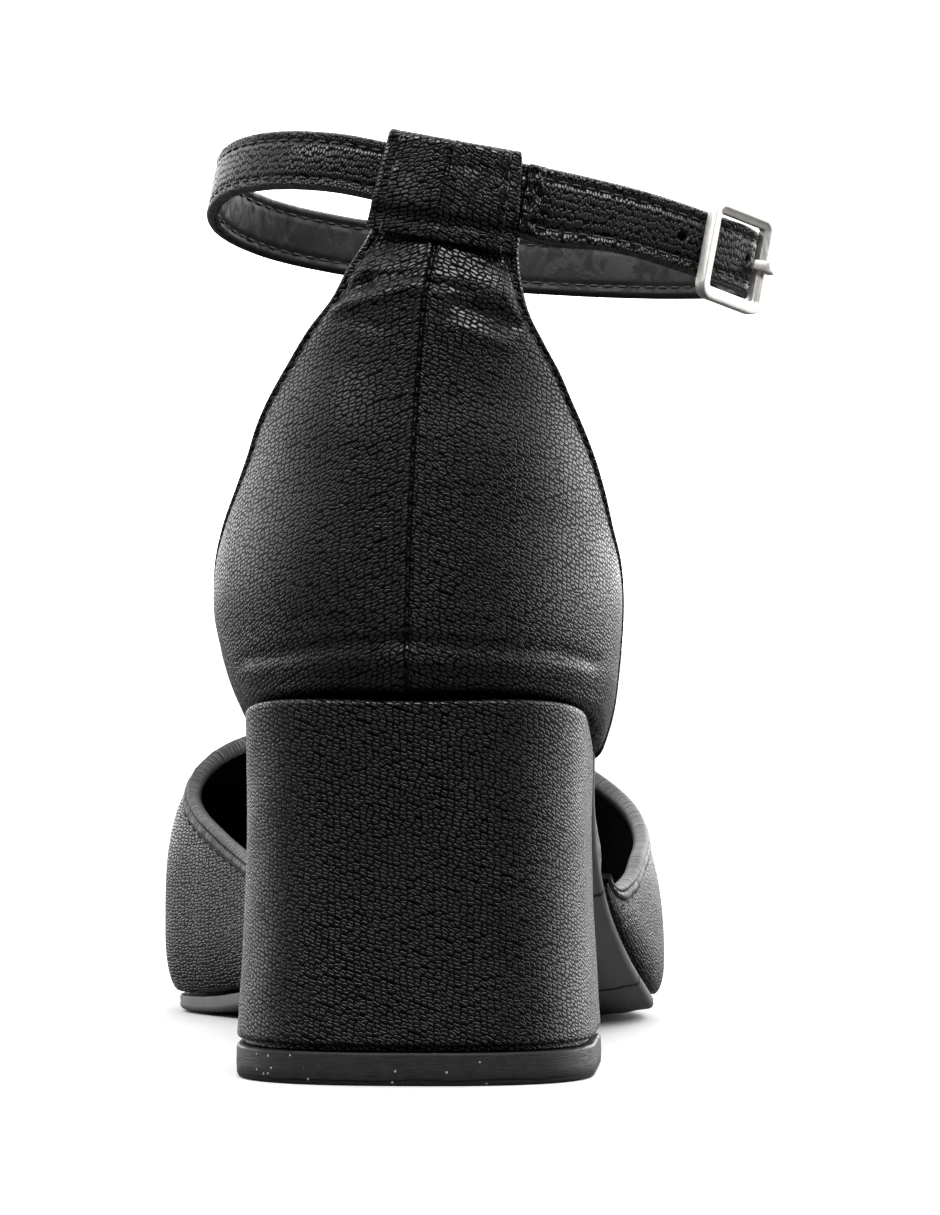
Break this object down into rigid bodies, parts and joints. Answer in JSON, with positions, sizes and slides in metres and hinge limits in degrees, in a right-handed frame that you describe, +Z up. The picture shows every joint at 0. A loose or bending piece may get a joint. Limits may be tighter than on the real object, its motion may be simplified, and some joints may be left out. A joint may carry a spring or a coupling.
{
  "type": "high heel shoe",
  "caption": "Right-foot closed-toe court shoe with open sides, a covered block heel and a buckled ankle strap through a sleeve at the back.",
  "frame": {"origin": "floor plane under the middle of the shoe's overall box", "axes": "+Z up, +Y from the heel towards the toe, +X towards the outer side of the right foot, where the buckle is"},
  "size_m": [0.1077, 0.23, 0.1501],
  "materials": {
    "upper_leather": "pebble-grained semi-gloss",
    "strap_leather": "pebble-grained semi-gloss",
    "heel_cover": "pebble-grained semi-gloss",
    "insole_lining": "smooth matt lining",
    "sole_rubber": "smooth satin",
    "top_lift_plastic": "satin with fine scratches",
    "buckle_metal": "polished nickel plate"
  },
  "bodies": {
    "root": {"heel_block": "heel_cover", "top_lift": "top_lift_plastic", "outsole": "sole_rubber", "insole": "insole_lining", "vamp": "upper_leather", "quarter": "upper_leather", "ankle_strap": "strap_leather", "strap_keeper": "strap_leather", "buckle_frame": "buckle_metal", "buckle_hook": "buckle_metal"}
  },
  "joints": []
}
